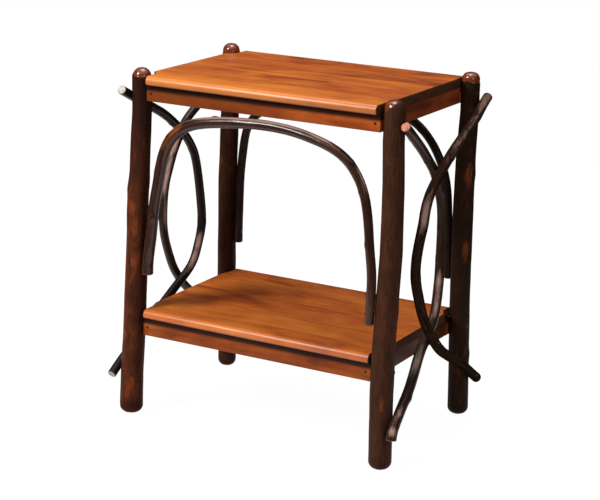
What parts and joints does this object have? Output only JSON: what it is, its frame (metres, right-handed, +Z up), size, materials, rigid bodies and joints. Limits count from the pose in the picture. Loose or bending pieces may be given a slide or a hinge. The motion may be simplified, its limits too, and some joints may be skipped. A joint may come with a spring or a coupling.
{
  "type": "rustic hickory table",
  "caption": "Square side table with a shelf: notched boards on aprons between bark-covered pole legs, bent arches front and back, crossed bent poles at each side.",
  "frame": {"origin": "on the floor, under the middle of the table's bounding box", "axes": "+X along the table's length, to the right as seen from the front; +Y from the front to the back; +Z up"},
  "size_m": [0.6155, 0.3828, 0.6643],
  "materials": {
    "bark_pole": "hickory bark under satin lacquer",
    "bent_pole": "thin hickory bark under satin lacquer",
    "stained_board": "orange-brown stain under gloss lacquer",
    "stained_apron": "red-brown stain under satin lacquer",
    "steel_fastener": "plain steel"
  },
  "bodies": {
    "root": {"post_front_left": "bark_pole", "post_front_right": "bark_pole", "post_rear_left": "bark_pole", "post_rear_right": "bark_pole", "top_board": "stained_board", "shelf_board": "stained_board", "top_front_apron": "stained_apron", "top_back_apron": "stained_apron", "top_left_apron": "stained_apron", "top_right_apron": "stained_apron", "shelf_front_apron": "stained_apron", "shelf_back_apron": "stained_apron", "shelf_left_apron": "stained_apron", "shelf_right_apron": "stained_apron", "front_arch": "bent_pole", "back_arch": "bent_pole", "right_front_bow": "bent_pole", "right_rear_bow": "bent_pole", "left_front_bow": "bent_pole", "left_rear_bow": "bent_pole", "apron_nails": "steel_fastener", "post_screws": "steel_fastener", "board_screws": "steel_fastener", "bow_nails": "steel_fastener", "arch_nails": "steel_fastener", "crossing_nails": "steel_fastener"}
  },
  "joints": []
}
